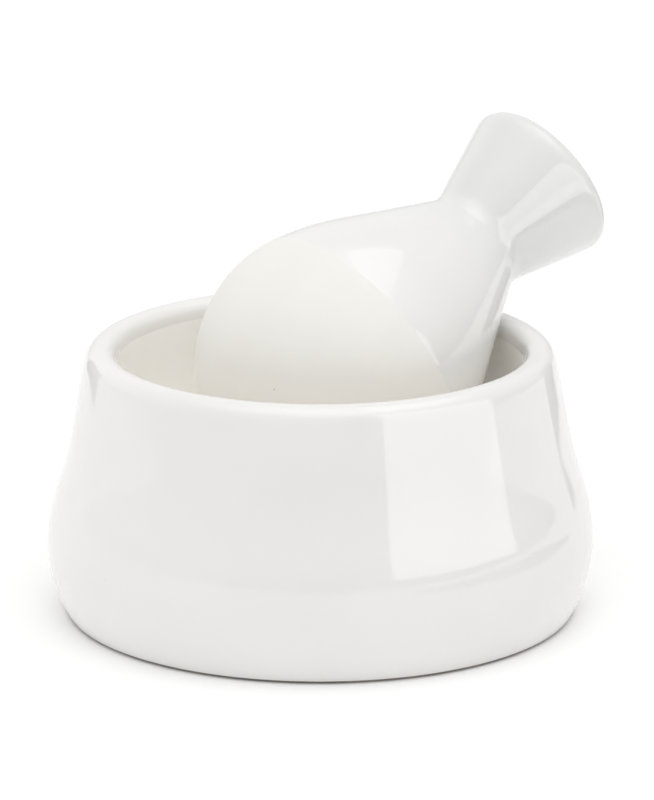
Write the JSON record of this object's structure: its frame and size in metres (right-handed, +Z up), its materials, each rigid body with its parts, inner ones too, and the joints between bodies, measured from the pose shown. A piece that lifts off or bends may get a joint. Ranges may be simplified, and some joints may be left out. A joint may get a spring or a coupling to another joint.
{
  "type": "mortar and pestle",
  "caption": "Heavy round porcelain mortar with a bellied wall and a thick rounded rim, and a loose ball-headed pestle with a short flared handle that leans in the bowl.",
  "frame": {"origin": "centre of the ring that the mortar stands on, on the standing surface", "axes": "+Z up along the mortar's axis; +X the way the pestle leans, so XZ is the plane of symmetry; +Y completes a right-handed frame"},
  "size_m": [0.1602, 0.145, 0.1241],
  "materials": {
    "mortar_porcelain": "clear gloss glaze on white porcelain outside and over the rim; bare matt porcelain in the bowl and on the standing ring",
    "pestle_porcelain": "clear gloss glaze on white porcelain from the shoulder to the handle's end; bare matt porcelain on the ball"
  },
  "bodies": {
    "mortar": {"mortar": "mortar_porcelain"},
    "pestle": {"pestle": "pestle_porcelain"}
  },
  "joints": [
    {"name": "pestle_lift", "type": "slide", "parent": "mortar", "child": "pestle", "axis": [0, 0, 1], "range_m": [0, 0.06]}
  ]
}
